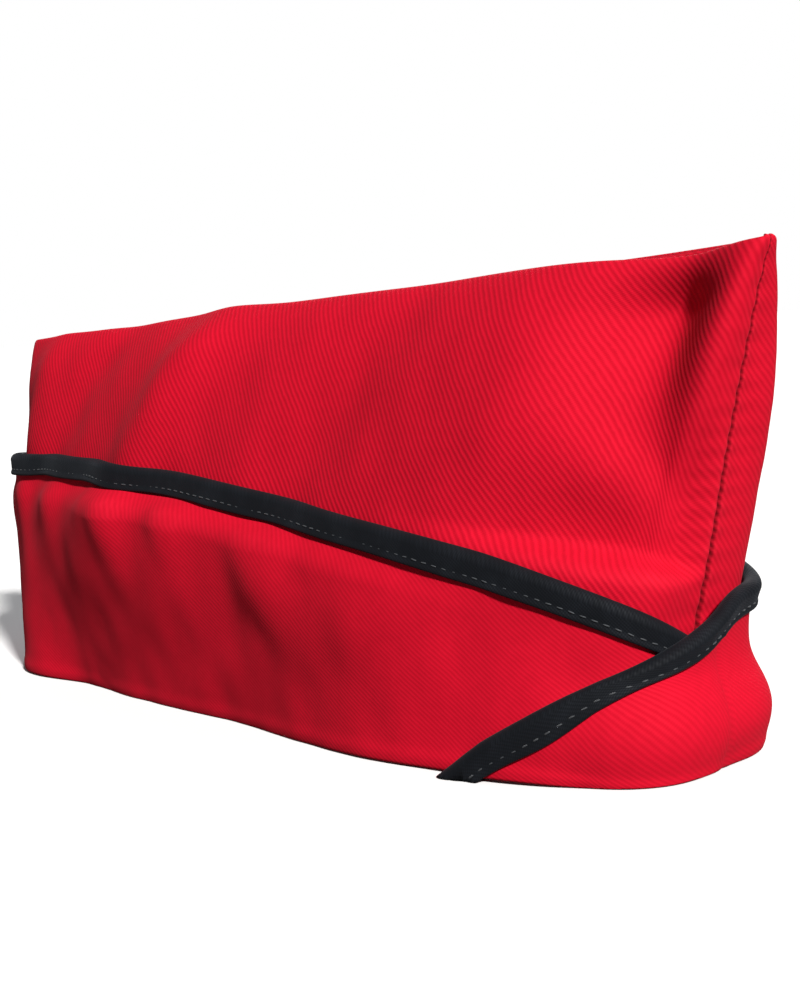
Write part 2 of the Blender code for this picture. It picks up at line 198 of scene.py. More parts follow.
CURTAIN_FOLDS = {
    "right": (
        Fold(0.330, 0.52, -35, 0.170, 0.070, 0.070, 0.060),
        Fold(0.445, 0.60, -38, 0.080, 0.032, 0.045, 0.075),
        Fold(0.575, 0.84, -16, 0.045, 0.018, 0.024, 0.046),
        Fold(0.652, 0.80, -10, 0.050, 0.022, 0.026, 0.060),
        Fold(0.620, 0.80, 84, 0.170, 0.035, 0.120, 0.125),
        Fold(0.790, 0.84, -8, 0.045, 0.024, 0.022, 0.046),
        Fold(0.870, 0.84, -6, 0.045, 0.018, 0.018, 0.034),
        Fold(0.925, 0.84, -4, 0.045, 0.017, 0.014, 0.030),
    ),
    "left": (
        Fold(0.350, 0.50, -30, 0.150, 0.070, 0.070, 0.045),
        Fold(0.580, 0.52, -25, 0.120, 0.050, 0.050, 0.050),
        Fold(0.720, 0.62, -20, 0.100, 0.026, 0.026, 0.052),
        Fold(0.830, 0.66, -10, 0.080, 0.020, 0.020, 0.044),
    ),
}

# Small unevenness of worn cloth: a few long waves across each piece
RUMPLE_SEED = 7
RUMPLE_WAVES = 9
RUMPLE_LENGTHS = (0.012, 0.040)
RUMPLE = 0.00010
PUCKER = 0.00022  # beside the sewn seams
PUCKER_LENGTH = 0.0052
PUCKER_REACH = 0.006
PUCKER_DRIFT = 1.7  # the ripples' pitch drifts by this many radians
PUCKER_DRIFT_RUN = 0.011  # over this length for each radian
CURTAIN_RUMPLE = 1.3  # the curtain's rumple as a share of the crown's
CURTAIN_SHIFT = 0.37  # moves its waves off the crown's
CURTAIN_FREE = 0.006  # its rumple is full this far from its edges
CURTAIN_SINK = 0.0002  # no rumple sinks deeper into it
BEAD = 0.00030  # the folded rim stands out by this
BEAD_HEIGHT = 0.0022
BEAD_HALF_HEIGHT = 0.0016

# Piping: lines and their half widths are shares of its width, from its upper edge
STITCH_LINE = 0.74
STITCH_VALLEY = 0.00034
STITCH_VALLEY_HALF = 0.075
STITCH_PULL = 0.35  # the share by which the valley is deeper at each stitch
BULGE = 0.00022
BULGE_LINE = 0.42
BULGE_HALF = 0.16
OUTER_FROM = 0.2  # relief starts this share of the half thickness outside the middle
FOOT_CLEAR = 0.0002  # the tape's straight legs stop this far from its fold
TAPE_UNEVEN = 0.00012
TAPE_UNEVEN_RUNS = (0.0041, 0.0103)  # for each radian of its waves, and of their drift
TAPE_UNEVEN_DRIFT = 2

# Thread
STITCH_PITCH = 0.0027
STITCH_LENGTH = 0.0017
THREAD = 0.00036
STITCH_RINGS = 7
STITCH_SIDES = 6
STITCH_BLUNT = 0.08  # a stitch's thickness is half a wave without this share at each end
STITCH_ROUND = 0.5  # the power of that wave
STITCH_SINK = 1.3  # its ends sink by this share of the thread's radius
STITCH_DIP = 0.4  # the lower, the later they sink
STITCH_SEAT = 0.75  # it lies this share of the valley's depth down
STITCH_AHEAD = 0.001  # the turn over which a stitch's direction is found
STITCH_LOWEST = 0.001  # no stitch lies lower than this
STITCH_TWIST = 0.06  # how far stitches turn from their line, in radians
STITCH_SPREAD = 0.05  # how far they differ in size

# Colours
RED = (0.64, 0.0030, 0.0230, 1.0)
DEEP_RED = (0.40, 0.0008, 0.0100, 1.0)
WORN_RED = (0.80, 0.035, 0.065, 1.0)
# painted shade: the dark red painted into the crown's seam crevices
PAINTED_SEAM_SHADE_RED = (0.050, 0.0003, 0.0012, 1.0)
RED_SHEEN = (1.0, 0.25, 0.32, 1.0)
BLACK = (0.0042, 0.0056, 0.0086, 1.0)
DEEP_BLACK = (0.0022, 0.0027, 0.0040, 1.0)
DUST = (0.022, 0.026, 0.034, 1.0)
BLACK_SHEEN = (0.75, 0.85, 1.0, 1.0)
THREAD_GREY = (0.050, 0.056, 0.064, 1.0)
DEEP_THREAD_GREY = (0.014, 0.017, 0.021, 1.0)
FLOOR_SEEN = (0.97, 0.97, 0.97, 1.0)
FLOOR_BOUNCE = (0.14, 0.14, 0.14, 1.0)  # what the floor throws back on the cap
AIR = (0.95, 0.97, 1.0, 1.0)
AIR_SEEN = (1.0, 1.0, 1.0, 1.0)
AIR_STRENGTH = 0.13

# Cloth materials: angle and rib give the ribs' slope and pitch, depth their height and contrast
# how much darker the valleys are
Twill = namedtuple("Twill", "name angle rib depth contrast")
CROWN_TWILL = Twill("red_twill_crown", 49.0, 0.00130, 0.00008, 0.75)
CURTAIN_TWILL = Twill("red_twill_curtain", 38.0, 0.00098, 0.00003, 0.45)
YARN_LEAN = 78.0  # degrees from the ribs
YARN_PITCH = 0.42  # of the ribs'

# What goes into the twill's looks: the shares of its noises and patterns, and pairs of values
# for its valleys and its ribs
RIB_WANDER_SLOW = 0.8
RIB_WANDER_MIDDLE = 0.30
YARN_WANDER = 0.9
WEAVE_RIBS = 0.9
WEAVE_YARN = 0.28
WEAVE_FINE = 0.25
WEAVE_RANGE = (0.15, 1.25)
MID_TONE = 0.40
TONE_MIDDLE = 0.35
TONE_SLOW = 0.25
TONE_DROP = 0.12
WORN_RANGE = (0.51, 0.56)  # the pointiness at which wear starts and is full
WEAR = 0.22
PAINTED_SHADE_TICKS = (0.85, 0.45)  # how dark the shade painted into a seam's crevice is, in a rib's valley and on a rib
TWILL_ROUGHNESS = (0.93, 0.78)
ROUGHNESS_RANGE = (0.0, 1.2)  # of the weave, from a valley to a rib

# The same for the tape and the thread
WARP = (62.0, 0.00052)  # angle and pitch
WEFT = (-28.0, 0.00060)
TAPE_WANDER = 0.5
TAPE_TONE = 0.55
TAPE_WEAVE = 0.00005
DUST_RANGE = (0.45, 0.75)
DUST_SHARE = 0.35
TAPE_ROUGHNESS = (0.86, 0.66)
TWIST_RANGE = (0.3, 0.7)
THREAD_ROUGHNESS = (0.7, 0.5)
THREAD_TWIST = 0.00004

# Noises: their scale, in features for each metre, and their detail
SLOW = (55.0, 2.0)
MIDDLE = (420.0, 3.0)
FINE = (5200.0, 2.0)
TAPE_SLOW = (120.0, 3.0)
TAPE_FINE = (6500.0, 2.0)
TWIST = (5200.0, 1.0)

CAMERA_TURNS = (45.13, 6.15, -2.72)  # yaw, pitch down and roll, in degrees
CAMERA_PLACE = (0.34375, -0.31819, 0.10576)
CAMERA_LENS = 61.14
CAMERA_SENSOR = 36.0
CAMERA_CLIP = 0.01

FLOOR_HALF = 12.0
FLOOR_ROUGHNESS = 0.9
FLOOR_DROP = 0.0003  # below the rim
Sun = namedtuple("Sun", "name direction energy angle colour")
SUNS = (
    Sun("key", (0.75, -0.33, 0.58), 5.5, 6.0, (1.0, 0.98, 0.96)),
    Sun("fill", (-0.45, 0.80, 0.40), 1.3, 40.0, (0.97, 0.98, 1.0)),
)

ARC_SAMPLES = 4000  # for the rim's length
SLOPE_STEP = 1e-4  # in turn and rise, for slopes
SIDES = {"right": -1.0, "left": 1.0}


def smooth(share):
    """0 to 1 with no kink at either end."""
    share = np.clip(share, 0.0, 1.0)
    return share * share * (3.0 - 2.0 * share)


def mix(low, high, share):
    """From low to high by a share."""
    return low + (high - low) * share


def bell(value, middle, half):
    """1 at the middle, and falling smoothly to 0 over a little more than half on both sides."""
    return np.exp(-(((value - middle) / half) ** 2))


def through(rows, at):
    """A smooth curve through the rows of a table, in their first column's order."""
    xs, ys = np.array(rows, float).T
    slopes = np.gradient(ys, xs)
    at = np.clip(at, xs[0], xs[-1])
    i = np.clip(np.searchsorted(xs, at, side="right") - 1, 0, len(xs) - 2)
    span = xs[i + 1] - xs[i]
    t = (at - xs[i]) / span
    start = (1 + 2 * t) * (1 - t) ** 2 * ys[i] + t * (1 - t) ** 2 * span * slopes[i]
    end = t**2 * (3 - 2 * t) * ys[i + 1] + t**2 * (t - 1) * span * slopes[i + 1]
    return start + end


# The wall


def plan(angle):
    """The rounded oval that every level section of the wall follows, 1 by 1."""
    along = np.sign(np.cos(angle)) * np.abs(np.cos(angle)) ** (2 / PLAN_LENGTH_POWER)
    power = mix(PLAN_BACK_POWER, PLAN_WIDTH_POWER, (1.0 + np.cos(angle)) / 2)
    across = np.abs(np.sin(angle)) ** (2 / power)
    return along, across


def ends(rise):
    """The X of the front seam and of the back seam at a height."""
    down = np.clip(1.0 - rise, 0.0, None)
    front = RIDGE_LENGTH / 2 - FRONT_LEAN * through(FRONT_SEAM, rise)
    back = -RIDGE_LENGTH / 2 + BACK_LEAN * down
    return front, back


def half_width(rise):
    """The wall's greatest Y at a height."""
    down = np.clip(1.0 - rise, 0.0, None)
    low, high = SIDE_ROUND**SIDE_POWER, (1.0 + SIDE_ROUND) ** SIDE_POWER
    share = ((down + SIDE_ROUND) ** SIDE_POWER - low) / (high - low)
    return mix(RIDGE_HALF_WIDTH, RIM_HALF_WIDTH, share)


def rim_arc():
    """The angle round the plan for equal steps along half of the rim, and that half's length."""
    angle = np.linspace(0.0, math.pi, ARC_SAMPLES)
    front, back = ends(np.zeros(1))
    along, across = plan(angle)
    step = np.hypot(np.diff(along) * (front - back) / 2, np.diff(across) * RIM_HALF_WIDTH)
    length = np.concatenate([[0.0], np.cumsum(step)])
    return length / length[-1], angle, length[-1]


ARC_SHARES, ARC_ANGLES, HALF_RIM = rim_arc()


def bare_wall(turn, rise):
    """Points of the crown's outer face, before any fold."""
    turn, rise = np.broadcast_arrays(turn, rise)
    angle = np.interp(np.abs(turn), ARC_SHARES, ARC_ANGLES)
    along, across = plan(angle)
    front, back = ends(rise)
    x = (front + back) / 2 + along * (front - back) / 2
    y = np.sign(turn) * across * half_width(rise)
    z = rise * mix(FRONT_HEIGHT, BACK_HEIGHT, (1.0 - along) / 2)
    return np.stack([x, y, z], -1)


def fold_depth(folds, turn, height, top):
    """How far the folds move the cloth out. height is in metres and top is its full measure."""
    total = np.zeros(np.broadcast(turn, height).shape)
    for fold in folds:
        ahead = (fold.along - np.abs(turn)) * HALF_RIM
        above = height - fold.up * top
        lean = math.radians(fold.tilt)
        across = ahead * math.cos(lean) - above * math.sin(lean)
        down = ahead * math.sin(lean) + above * math.cos(lean)
        half = np.where(across > 0, fold.front, fold.back) * RIDGE_LENGTH
        wide = (across / half) ** 2
        long = (down / (fold.long * RIDGE_LENGTH)) ** 2
        total = total + fold.depth * RIM_HALF_WIDTH * np.exp(-wide - long)
    return total


def lap_share(turn):
    """How much of the lap's full thickness there is at a place round the cap."""
    tip, full, seam, over = LAP_TURNS
    return smooth((turn - tip) / (full - tip)) * (1.0 - smooth((turn - seam) / (over - seam)))


def crown_swell(turn, height, rise):
    """How far the crown's folds move it out, less the lap's press and the drawn-in rim."""
    right = fold_depth(CROWN_FOLDS["right"], turn, height, FRONT_HEIGHT)
    left = fold_depth(CROWN_FOLDS["left"], turn, height, FRONT_HEIGHT)
    free = smooth(np.abs(turn) / HOLD_FRONT) * smooth((1.0 - np.abs(turn)) / HOLD_BACK)
    held = HOLD_RIDGE * smooth((rise - HOLD_RIDGE_RISE) / (1.0 - HOLD_RIDGE_RISE))
    upright = smooth(rise / HOLD_RIM) * (1.0 - held)
    press = LAP_PRESS * lap_share(turn) * (1.0 - smooth(rise / LAP_PRESS_RISE))
    start, full, easing, end = TUCK_TURNS
    back = smooth((np.abs(turn) - start) / (full - start))
    back = back * (1.0 - smooth((np.abs(turn) - easing) / (end - easing)))
    tuck = TUCK * back * np.clip(1.0 - rise / TUCK_RISE, 0.0, TUCK_LIMIT) ** TUCK_POWER
    return np.where(turn < 0, right, left) * free * upright - press - tuck


def curtain_swell(side, turn, height):
    """How far a curtain's folds, and its swollen front, move it further out."""
    near, far = SWELL_TURNS
    fade = 1.0 - smooth((np.abs(turn) - near) / (far - near))
    front = SWELL * fade * bell(height, SWELL_HEIGHT, SWELL_HALF_HEIGHT)
    below_piping = edge_height(side, turn) - PIPING_WIDTH * edge_slant(side, turn) - height
    free = smooth((1.0 - np.abs(turn)) / HOLD_BACK) * smooth(np.abs(turn) / CURTAIN_HOLD_FRONT)
    free = free * smooth(height / (CURTAIN_HOLD_RIM * CURTAIN_RISE))
    free = free * smooth(below_piping / PIPING_WIDTH)
    folds = fold_depth(CURTAIN_FOLDS[side], turn, height, CURTAIN_RISE) * free
    return front + np.clip(folds, 0.0, None)


def folded(turn, rise, layer):
    """The wall with the folds of its layer: the crown, or the right or left curtain."""
    flat = bare_wall(turn, rise)
    swell = crown_swell(turn, flat[..., 2], rise)
    if layer != "crown":
        swell = swell + curtain_swell(layer, turn, flat[..., 2])
    out = square_to(bare_wall, turn, rise) * np.array([1.0, 1.0, FOLD_LIFT])
    out = out / np.linalg.norm(out, axis=-1, keepdims=True)
    return flat + out * swell[..., None]


def square_to(face, turn, rise):
    """Unit vectors square to a face, pointing out. face takes turn and rise."""
    reach = 2 * SLOPE_STEP
    turn = np.where(turn < 0, np.clip(turn, reach - 1, -reach), np.clip(turn, reach, 1 - reach))
    rise = np.minimum(rise, 1.0 - reach)
    round_step = face(turn + SLOPE_STEP, rise) - face(turn - SLOPE_STEP, rise)
    up_step = face(turn, rise + SLOPE_STEP) - face(turn, rise - SLOPE_STEP)
    square = np.cross(round_step, up_step)
    return square / np.linalg.norm(square, axis=-1, keepdims=True)


def wall(turn, rise, out, layer="crown"):
    """Points of a layer's folded wall, moved out by a distance."""
    turn, rise = np.broadcast_arrays(np.asarray(turn, float), np.asarray(rise, float))
    direction = square_to(lambda t, r: folded(t, r, layer), turn, rise)
    return folded(turn, rise, layer) + direction * np.asarray(out)[..., None]


def rise_of(turn, height):
    """The share of the wall's height at which a place on it is this high."""
    angle = np.interp(np.abs(turn), ARC_SHARES, ARC_ANGLES)
    along, _ = plan(angle)
    return height / mix(FRONT_HEIGHT, BACK_HEIGHT, (1.0 - along) / 2)


def edge_height(side, turn):
    """The height of a curtain's upper edge."""
    if side == "right":
        return CURTAIN_RISE * through(RIGHT_EDGE, np.abs(turn))
    return CURTAIN_RISE * through(LEFT_EDGE, turn)


def edge_slant(side, turn):
    """How much longer an upright cut through the edge is than one square to it."""
    ahead = edge_height(side, turn + SLOPE_STEP)
    behind = edge_height(side, turn - SLOPE_STEP)
    return np.hypot(1.0, (ahead - behind) / (2 * SLOPE_STEP * HALF_RIM))


def standoff(side, turn, height):
    """The gap between the crown's outer face and a curtain's inner face."""
    edge = np.maximum(edge_height(side, turn), LEAST_EDGE)
    out = mix(RIM_STANDOFF, EDGE_STANDOFF, smooth(height / edge))
    if side == "left":
        before_seam = np.asarray(turn) < LAP_TURNS[2]
        thinnest = np.where(before_seam, LAP_TIP_STANDOFF, 0.0)
        out = out + mix(thinnest, LAP_STANDOFF, lap_share(turn))
    return out


# Small relief


def rumple(turn, height):
    """Slow unevenness of worn cloth."""
    draw = np.random.default_rng(RUMPLE_SEED)
    total = np.zeros(np.broadcast(turn, height).shape)
    for _ in range(RUMPLE_WAVES):
        length = draw.uniform(*RUMPLE_LENGTHS)
        angle, phase = draw.uniform(0, 2 * math.pi, 2)
        run = turn * HALF_RIM * math.cos(angle) + height * math.sin(angle)
        total = total + np.sin(2 * math.pi * run / length + phase) * length / RUMPLE_LENGTHS[1]
    return RUMPLE * total


def seam_distance(turn):
    """How far a place is from the nearer seam, along the cloth."""
    return np.minimum(np.abs(turn), 1.0 - np.abs(turn)) * HALF_RIM


def from_ends(turn, turns):
    """How far a place is from the nearer end of a band's columns, along the cloth."""
    return np.minimum(turn - turns[0], turns[-1] - turn) * HALF_RIM


def rolled(distance, radius):
    """How deep the cloth turns in at this distance from its sewn edge."""
    share = 1.0 - np.clip(distance / radius, 0.0, 1.0)
    return radius * (1.0 - np.sqrt(1.0 - share**2))


def pucker(distance, height):
    """Ripples that the seam's stitches draw into the cloth."""
    drift = PUCKER_DRIFT * np.sin(height / PUCKER_DRIFT_RUN)
    wave = np.sin(2 * math.pi * height / PUCKER_LENGTH + drift)
    return PUCKER * wave * np.exp(-distance / PUCKER_REACH)


# Meshes


def stations(length, fine_start, fine_end, radius=SEAM_ROLL):
    """Distances from 0 to length: close together near the ends named as fine, else STEP."""
    start = np.array(FINE_STEPS) * radius if fine_start else np.array([0.0])
    end = length - (np.array(FINE_STEPS) * radius)[::-1] if fine_end else np.array([length])
    middle = np.linspace(start[-1], end[0], max(2, round((end[0] - start[-1]) / STEP)))
    return np.concatenate([start, middle[1:-1], end])


def rounded(distance, radius):
    """The share of its thickness that cloth has at this distance from a rounded edge."""
    share = 1.0 - np.clip(distance / radius, 0.0, 1.0)
    return np.maximum(np.sqrt(1.0 - share**2), THINNEST)


def linked(name, data):
    """A new object in the scene."""
    made = bpy.data.objects.new(name, data)
    bpy.context.scene.collection.objects.link(made)
    return made


def closed_sheet(name, outer, inner, along, up):
    """A piece from its outer and inner face, as grids of points, closed round their border.

    along and up are the cloth's own coordinates in metres, kept as the UV map Cloth.
    """
    count = outer[..., 0].size
    points = np.concatenate([outer.reshape(-1, 3), inner.reshape(-1, 3)])
    index = np.arange(count).reshape(outer.shape[:2])
    corners = (index[:-1, :-1], index[1:, :-1], index[1:, 1:], index[:-1, 1:])
    front = np.stack(corners, -1).reshape(-1, 4)
    back = front[:, ::-1] + count
    loop = np.concatenate([index[:-1, 0], index[-1, :-1], index[:0:-1, -1], index[0, :0:-1]])
    after = np.roll(loop, -1)
    rim = np.stack([after, loop, loop + count, after + count], -1)
    faces = np.concatenate([front, back, rim])
    mesh = bpy.data.meshes.new(name)
    mesh.from_pydata(points.tolist(), [], faces.tolist())
    cloth = np.stack([along.ravel(), up.ravel()], -1)
    cloth = np.concatenate([cloth, cloth])
    layer = mesh.uv_layers.new(name="Cloth")
    layer.data.foreach_set("uv", cloth[faces.ravel()].astype(np.float32).ravel())
    mesh.shade_smooth()
    return linked(name, mesh)


def cloth_tables():
    """How far round and how far up each place of the bare wall is, along the cloth itself."""
    turns = np.linspace(0.0, 1.0, CLOTH_TURNS)
    rises = np.linspace(LOWEST_RISE, 1.0, CLOTH_RISES)
    points = bare_wall(turns[:, None], rises[None, :])
    round_run = np.cumsum(np.linalg.norm(np.diff(points, axis=0), axis=-1), axis=0)
    round_run = np.concatenate([np.zeros((1, len(rises))), round_run])
    middle = int(np.searchsorted(turns, MIDDLE_TURN))
    round_run = round_run - round_run[middle] + MIDDLE_TURN * HALF_RIM
    up_run = np.cumsum(np.linalg.norm(np.diff(points, axis=1), axis=-1), axis=1)
    up_run = np.concatenate([np.zeros((len(turns), 1)), up_run], axis=1)
    return turns, rises, round_run, up_run


def cloth_place(turn, rise, tables):
    """The cloth's own coordinates at places on the wall, in metres: round the cap and up."""
    turns, rises, round_run, up_run = tables
    i = np.clip(np.abs(turn), 0.0, 1.0) * (len(turns) - 1)
    k = (np.clip(rise, rises[0], rises[-1]) - rises[0]) / (rises[1] - rises[0])
    i0 = np.minimum(i.astype(int), len(turns) - 2)
    k0 = np.minimum(k.astype(int), len(rises) - 2)

    def between(table):
        low = mix(table[i0, k0], table[i0 + 1, k0], i - i0)
        high = mix(table[i0, k0 + 1], table[i0 + 1, k0 + 1], i - i0)
        return mix(low, high, k - k0)

    return np.sign(turn) * between(round_run), between(up_run)


def painted_seam_shade(piece, depth):
    """Keeps the shade painted into a seam's crevice at each point, 0 to 1, where the twill's
    material reads it.
    """
    made = piece.data.attributes.new("painted_seam_shade", "FLOAT", "POINT")
    both = np.concatenate([depth.ravel(), depth.ravel()]).astype(np.float32)
    made.data.foreach_set("value", both)


def cut_at_floor(piece):
    """Cuts off what reaches below the rim's level, and closes the cut."""
    bm = bmesh.new()
    bm.from_mesh(piece.data)
    whole = bm.verts[:] + bm.edges[:] + bm.faces[:]
    up = (0, 0, 1)
    cut = bmesh.ops.bisect_plane(
        bm, geom=whole, dist=CUT_TOLERANCE, plane_no=up, clear_inner=True
    )
    edges = [e for e in cut["geom_cut"] if isinstance(e, bmesh.types.BMEdge) and e.is_boundary]
    bmesh.ops.holes_fill(bm, edges=edges)
    bm.to_mesh(piece.data)
    bm.free()


def dress(piece, node, material):
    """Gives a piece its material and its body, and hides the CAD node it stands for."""
    piece.data.materials.append(material)
    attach(piece, "root")
    if node:
        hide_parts(node)
    return piece


# Pieces


def crown_slant(height):
    """The length of a side from the rim to a ridge this high."""
    return math.hypot(height, RIM_HALF_WIDTH - RIDGE_HALF_WIDTH)


def make_crown(side, material, tables):
    """One side of the crown, from the rim to the ridge, rolled in at its seams."""
    sign = SIDES[side]
    slant = crown_slant(FRONT_HEIGHT)
    turns = stations(HALF_RIM, True, True) / HALF_RIM
    turns = turns if sign > 0 else -turns[::-1]
    rises = stations(slant, False, True) / slant
    turn, rise = np.meshgrid(turns, rises, indexing="ij")
    height = bare_wall(turn, rise)[..., 2]
    from_seam = seam_distance(turn)
    from_ridge = (1.0 - rise) * slant
    near_seam = bell(from_seam, 0.0, CORNER_REACH)
    near_ridge = bell(from_ridge, 0.0, CORNER_REACH)
    relief = rumple(turn, height) * smooth(from_seam / RELIEF_FADE) + pucker(from_seam, height)
    relief = relief * smooth(from_ridge / RELIEF_FADE)
    seam_roll = rolled(from_seam, SEAM_ROLL) * (1.0 - CORNER_SHARP * near_ridge)
    ridge_roll = rolled(from_ridge, SEAM_ROLL)
    roll = np.maximum(seam_roll, ridge_roll)
    outer = wall(turn, rise, relief - roll)
    inner = wall(turn, rise, relief - roll - CLOTH)
    thin = CLOTH * THINNEST * np.array([1.0, 0.0, 1.0])
    tip = smooth(CORNER_THIN * near_ridge * near_seam)
    inner = mix(inner, outer - thin, tip[..., None])
    gap = SEAM_HALF_GAP * (1.0 - near_ridge) * np.exp(-from_seam / SEAM_ROLL)
    for face in (outer, inner):
        face[..., 1] += sign * gap
        face[..., 2] -= CORNER_SINK * ridge_roll * near_seam
        own_side = sign * np.maximum(sign * face[..., 1], LEAST_GAP * SEAM_HALF_GAP)
        face[..., 1] = np.where(from_seam < CORNER_REACH, own_side, face[..., 1])
    piece = closed_sheet("twill_crown_" + side, outer, inner, *cloth_place(turn, rise, tables))
    # painted shade: darkest right at the seam, fading over SEAM_SHADE on each side
    painted_seam_shade(piece, bell(from_seam, 0.0, SEAM_SHADE))
    return dress(piece, "crown_" + side, material)


def gusset_fade(place):
    """The share of the fold's depth at a place along the gusset, -1 to 1."""
    return 1.0 - place**GUSSET_END_POWER


def gusset_half_width(fade):
    """Half the strip's width, along the cloth, where its fold has this share of its depth."""
    return np.hypot(RIDGE_HALF_WIDTH, GUSSET_DEPTH * fade)


def make_gusset(material):
    """The folded strip that joins the two sides along the ridge and drops into the cap."""
    station = np.linspace(1.0 - GUSSET_END, GUSSET_END, round(RIDGE_LENGTH / STEP))
    place, side = np.meshgrid(station, np.linspace(-1.0, 1.0, GUSSET_POINTS), indexing="ij")
    along, _ = plan(ARC_ANGLES)
    turn = np.interp(1.0 - 2.0 * place, along[::-1], ARC_SHARES[::-1])
    right, left = (wall(sign * turn, np.ones_like(turn), 0.0) for sign in SIDES.values())
    inset = np.array([0.0, SEAM_ROLL + GUSSET_CLEAR, 0.0])
    outer = mix(right + inset, left - inset, ((side + 1.0) / 2)[..., None])
    roomy = left[..., 1] - right[..., 1] > 2 * inset[1]
    outer[..., 1] = np.where(roomy, outer[..., 1], (right + left)[..., 1] / 2)
    fade = gusset_fade(2.0 * place - 1.0)
    waver = GUSSET_WAVER * np.sin(outer[..., 0] / GUSSET_WAVER_RUN)
    outer[..., 1] += waver * (1.0 - side**2) * fade
    drop = GUSSET_DEPTH * fade * (1.0 - np.abs(side) ** GUSSET_FOLD_POWER)
    outer[..., 2] -= SEAM_ROLL * GUSSET_BELOW + drop
    inner = outer - np.array([0.0, 0.0, CLOTH])
    up = side * gusset_half_width(fade)
    piece = closed_sheet("twill_gusset", outer, inner, outer[..., 0], up)
    painted_seam_shade(piece, np.zeros(up.shape))
    return dress(piece, "crown_gusset", material)


def curtain_span(side):
    """The turns at which a curtain starts and ends."""
    return (-1.0, RIGHT_CURTAIN_END) if side == "right" else (LEFT_CURTAIN_END, 1.0)


def piping_span(side):
    """The turns at which a piping starts and ends: the left one runs on to the rim."""
    return (-1.0, RIGHT_CURTAIN_END) if side == "right" else (LEFT_EDGE[0].turn, 1.0)


def columns(span):
    """Columns round a band, closer together at its ends."""
    start, end = span
    return start + stations((end - start) * HALF_RIM, True, True) / HALF_RIM


def make_curtain(side, material, tables):
    """The turned-up band of one side: twill doubled over, folded at the rim."""
    turns = columns(curtain_span(side))
    top = edge_height(side, turns) - FOLD_DEPTH * edge_slant(side, turns)
    top = np.maximum(top, LEAST_CURTAIN)[:, None]
    rows = stations(CURTAIN_RISE, True, False, CURTAIN) / CURTAIN_RISE
    turn, share = np.meshgrid(turns, rows, indexing="ij")
    height = share * top
    from_end = from_ends(turn, turns)
    width = CURTAIN * rounded(height, CURTAIN / 2) * rounded(from_end, CURTAIN / 2)
    free = smooth((top - height) / CURTAIN_FREE) * smooth(from_end / CURTAIN_FREE)
    relief = CURTAIN_RUMPLE * rumple(turn + CURTAIN_SHIFT, height) * free
    relief = relief + BEAD * bell(height, BEAD_HEIGHT, BEAD_HALF_HEIGHT)
    middle = standoff(side, turn, height) + CURTAIN / 2
    rise = rise_of(turn, height)
    outer = wall(turn, rise, middle + width / 2 + np.maximum(relief, -CURTAIN_SINK), side)
    inner = wall(turn, rise, middle - width / 2, side)
    keep_apart(outer, inner, side, turn)
    piece = closed_sheet("twill_curtain_" + side, outer, inner, *cloth_place(turn, rise, tables))
    painted_seam_shade(piece, np.zeros(turn.shape))
    cut_at_floor(piece)
    return dress(piece, "curtain_" + side, material)


def keep_apart(outer, inner, side, turn):
    """Holds the back end of a layer off the back seam."""
    near_back = np.exp(-(1.0 - np.abs(turn)) * HALF_RIM / SEAM_ROLL)
    for face in (outer, inner):
        face[..., 1] += SIDES[side] * 2 * SEAM_HALF_GAP * near_back


def tape_path():
    """The tape's course round the curtain's edge, from the inner leg's foot to the outer one's.

    Returns for each station: how far it is from the middle and how high it rises round the
    fold, both in half thicknesses, how far down its leg it is, and the distance to its foot.
    """
    leg = PIPING_WIDTH - FOLD_DEPTH
    down = stations(leg, True, False, TAPE)
    down = down[down < leg - FOOT_CLEAR]
    arc = np.linspace(0.0, math.pi, FOLD_POINTS)
    across = np.concatenate([-np.ones(len(down)), -np.cos(arc), np.ones(len(down))])
    bend = np.concatenate([np.zeros(len(down)), np.sin(arc), np.zeros(len(down))])
    below = np.concatenate([leg - down, np.zeros(len(arc)), (leg - down)[::-1]])
    foot = np.concatenate([down, np.full(len(arc), leg), down[::-1]])
    return across, bend, below, foot


def make_piping(side, material):
    """The black tape folded over a curtain's upper edge, sewn down near its foot."""
    turns = columns(piping_span(side))
    across, bend, below, foot = tape_path()
    turn = np.repeat(turns[:, None], len(across), 1)
    edge, slant = edge_height(side, turn), edge_slant(side, turn)
    end_share = rounded(from_ends(turn, turns), TAPE / 2)
    foot_share = rounded(foot, TAPE / 2)
    run = turn * HALF_RIM

    def face(half, relief):
        """half is the half thickness of the loop, and relief moves its outer leg out."""
        height = edge - (FOLD_DEPTH + below - bend * half) * slant
        level = edge - (FOLD_DEPTH + below) * slant
        out = standoff(side, turn, level) + CURTAIN / 2 + across * half + relief
        return wall(turn, rise_of(turn, height), out, side)

    share = (FOLD_DEPTH + below) / PIPING_WIDTH
    outside = smooth((across - OUTER_FROM) / (1.0 - OUTER_FROM))
    valley = STITCH_VALLEY * bell(share, STITCH_LINE, STITCH_VALLEY_HALF)
    pull = 1.0 + STITCH_PULL * np.cos(2 * math.pi * run / STITCH_PITCH)
    bulge = BULGE * bell(share, BULGE_LINE, BULGE_HALF)
    wave_run, drift_run = TAPE_UNEVEN_RUNS
    drift = TAPE_UNEVEN_DRIFT * np.sin(run / drift_run)
    uneven = TAPE_UNEVEN * np.sin(run / wave_run + drift)
    relief = outside * (bulge + uneven - valley * pull)
    half = PIPING_THICKNESS / 2 - TAPE / 2
    thick = TAPE * foot_share * end_share
    outer = face(half + thick / 2, relief)
    inner = face(half - thick / 2, relief)
    keep_apart(outer, inner, side, turn)
    length = np.concatenate([[0.0], np.cumsum(np.hypot(np.diff(across * half), np.diff(below)))])
    piece = closed_sheet("tape_" + side, outer, inner, run, np.broadcast_to(length, turn.shape))
    cut_at_floor(piece)
    return dress(piece, "piping_" + side, material)


